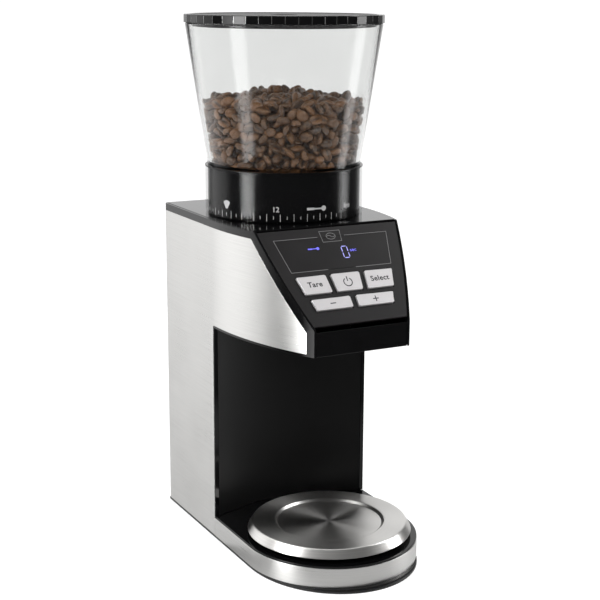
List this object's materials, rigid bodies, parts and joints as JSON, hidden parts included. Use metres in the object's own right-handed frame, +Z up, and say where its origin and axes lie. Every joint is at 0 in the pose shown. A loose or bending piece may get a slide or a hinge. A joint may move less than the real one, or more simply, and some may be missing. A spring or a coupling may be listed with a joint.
{
  "type": "burr coffee grinder",
  "caption": "Upright burr coffee grinder: clear bean hopper on a steel-sided housing, sloped key panel, and a weighing plate on the base under the grounds outlet.",
  "frame": {"origin": "middle of the bounding box in plan, on the surface that the feet stand on", "axes": "+Z up, front facing -Y, X across the width"},
  "size_m": [0.146, 0.231, 0.39],
  "materials": {
    "black_gloss": "polished",
    "black_satin": "satin",
    "steel_skin": "brushed, clear lacquered",
    "steel_plate": "spun",
    "panel_graphite": "fine matt",
    "window_smoke": "smoked, polished",
    "key_silver": "satin lacquer",
    "clear_plastic": "clear, polished",
    "smoke_plastic": "clear, polished",
    "rubber_dark": "moulded",
    "gland_black": "moulded",
    "screw_steel": "zinc plated",
    "shaft_steel": "ground",
    "burr_steel": "hardened, ground",
    "diecast": "as cast",
    "motor_steel": "drawn",
    "winding_copper": "laminated core with copper windings",
    "brass_turned": "turned",
    "nylon_cream": "moulded",
    "glass_nylon": "moulded, glass filled",
    "board_green": "solder mask",
    "display_dark": "moulded",
    "switch_grey": "moulded"
  },
  "bodies": {
    "housing": {"base_tray": "black_satin", "base_deck": "black_gloss", "base_band": "steel_skin", "rubber_feet": "rubber_dark", "base_screws": "screw_steel", "left_shell": "black_gloss", "right_shell": "black_gloss", "left_skin": "steel_skin", "right_skin": "steel_skin", "top_cover": "black_gloss", "recess_liner": "black_gloss", "head_floor": "black_satin", "front_fascia": "black_gloss", "control_panel": "panel_graphite", "display_window": "window_smoke", "rear_cover": "black_satin", "rear_screws": "screw_steel", "cord_gland": "gland_black", "main_board": "board_green", "display_board": "board_green", "led_display": "display_dark", "button_switches": "switch_grey", "load_cell": "diecast", "hopper_switch": "switch_grey", "gearbox_plate": "diecast", "gearbox_cover": "glass_nylon", "burr_chamber": "glass_nylon", "shaft_bush": "brass_turned", "shaft_bearing": "shaft_steel", "idler_pin": "shaft_steel", "motor_can": "motor_steel", "motor_end_cap": "diecast", "motor_screws": "screw_steel", "grounds_chute": "glass_nylon"},
    "tare_key": {"button_tare": "key_silver"},
    "power_key": {"button_power": "key_silver"},
    "select_key": {"button_select": "key_silver"},
    "minus_key": {"button_minus": "key_silver"},
    "plus_key": {"button_plus": "key_silver"},
    "platform": {"platform_spider": "glass_nylon"},
    "plate": {"weighing_plate": "steel_plate"},
    "motor_rotor": {"armature": "winding_copper", "motor_shaft": "shaft_steel", "motor_pinion": "brass_turned"},
    "idler": {"idler_gear": "nylon_cream"},
    "burr_rotor": {"output_gear": "nylon_cream", "burr_shaft": "shaft_steel", "cone_burr": "burr_steel", "sweeper": "nylon_cream", "burr_nut": "screw_steel"},
    "upper_burr": {"burr_carrier": "glass_nylon", "ring_burr": "burr_steel"},
    "adjuster": {"adjuster_ring": "glass_nylon"},
    "hopper": {"bean_hopper": "clear_plastic", "hopper_collar": "black_gloss", "scale_sleeve": "smoke_plastic", "finger_guard": "black_satin"},
    "lid": {"hopper_lid": "black_gloss", "lid_seal": "rubber_dark"}
  },
  "joints": [
    {"name": "tare_press", "type": "slide", "parent": "housing", "child": "tare_key", "axis": [0, 0.7582, -0.652], "range_m": [0, 0.0008], "stiffness_N_per_m": 400, "springref_m": -0.001},
    {"name": "power_press", "type": "slide", "parent": "housing", "child": "power_key", "axis": [0, 0.7582, -0.652], "range_m": [0, 0.0008], "stiffness_N_per_m": 400, "springref_m": -0.001},
    {"name": "select_press", "type": "slide", "parent": "housing", "child": "select_key", "axis": [0, 0.7582, -0.652], "range_m": [0, 0.0008], "stiffness_N_per_m": 400, "springref_m": -0.001},
    {"name": "minus_press", "type": "slide", "parent": "housing", "child": "minus_key", "axis": [0, 0.7582, -0.652], "range_m": [0, 0.0008], "stiffness_N_per_m": 400, "springref_m": -0.001},
    {"name": "plus_press", "type": "slide", "parent": "housing", "child": "plus_key", "axis": [0, 0.7582, -0.652], "range_m": [0, 0.0008], "stiffness_N_per_m": 400, "springref_m": -0.001},
    {"name": "platform_press", "type": "slide", "parent": "housing", "child": "platform", "axis": [0, 0, -1], "range_m": [0, 0.0003], "stiffness_N_per_m": 20000, "springref_m": -0.0002},
    {"name": "plate_lift", "type": "slide", "parent": "platform", "child": "plate", "axis": [0, 0, 1], "range_m": [0, 0.05]},
    {"name": "burr_spin", "type": "hinge", "parent": "housing", "child": "burr_rotor", "pos_m": [0, 0.0305, 0.2], "axis": [0, 0, 1], "continuous": true},
    {"name": "idler_spin", "type": "hinge", "parent": "housing", "child": "idler", "pos_m": [-0.02063, 0.05625, 0.175], "axis": [0, 0, 1], "continuous": true},
    {"name": "motor_spin", "type": "hinge", "parent": "housing", "child": "motor_rotor", "pos_m": [0, 0.07635, 0.13], "axis": [0, 0, 1], "continuous": true},
    {"name": "hopper_turn", "type": "hinge", "parent": "housing", "child": "adjuster", "pos_m": [0, 0.0305, 0.235], "axis": [0, 0, 1], "range_deg": [-19, 169]},
    {"name": "burr_gap", "type": "slide", "parent": "housing", "child": "upper_burr", "axis": [0, 0, 1], "range_m": [-0.00012, 0.00095]},
    {"name": "hopper_lift", "type": "slide", "parent": "adjuster", "child": "hopper", "axis": [0, 0, 1], "range_m": [0, 0.06]},
    {"name": "lid_lift", "type": "slide", "parent": "hopper", "child": "lid", "axis": [0, 0, 1], "range_m": [0, 0.06]}
  ],
  "couplings": [
    {"joint": "idler_spin", "follows": "burr_spin", "ratio": -2.6667},
    {"joint": "motor_spin", "follows": "burr_spin", "ratio": 9.3333},
    {"joint": "burr_gap", "follows": "hopper_turn", "m_per_rad": 0.000318}
  ]
}
